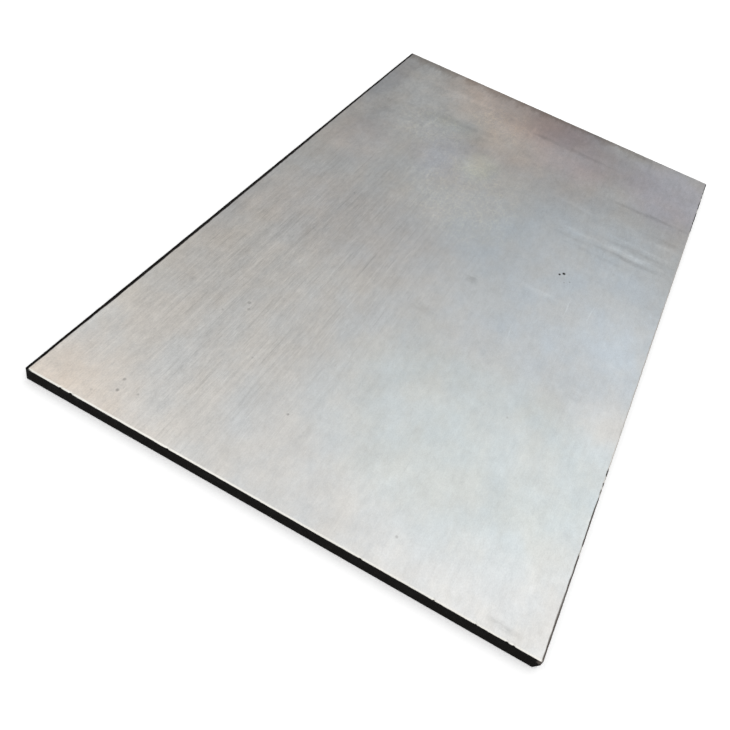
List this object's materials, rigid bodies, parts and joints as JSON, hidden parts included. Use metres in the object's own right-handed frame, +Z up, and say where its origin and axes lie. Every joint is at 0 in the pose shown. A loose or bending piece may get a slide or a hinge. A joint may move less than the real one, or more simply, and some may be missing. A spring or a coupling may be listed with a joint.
{
  "type": "steel plate",
  "caption": "Flat rectangular steel plate with a ground, grained upper face and dark flame-cut edges, raw stock to be cut, drilled, welded or used as a base.",
  "frame": {"origin": "middle of the underside, on the surface the plate lies on", "axes": "+Y along the plate's length and the grain of its upper face, +X across its width, +Z up through its thickness"},
  "size_m": [0.35, 0.6, 0.01],
  "materials": {
    "steel": "belt-ground upper face with fine grain along the length, black oxide on the cut edges and rolling scale under it"
  },
  "bodies": {
    "root": {"plate": "steel"}
  },
  "joints": []
}
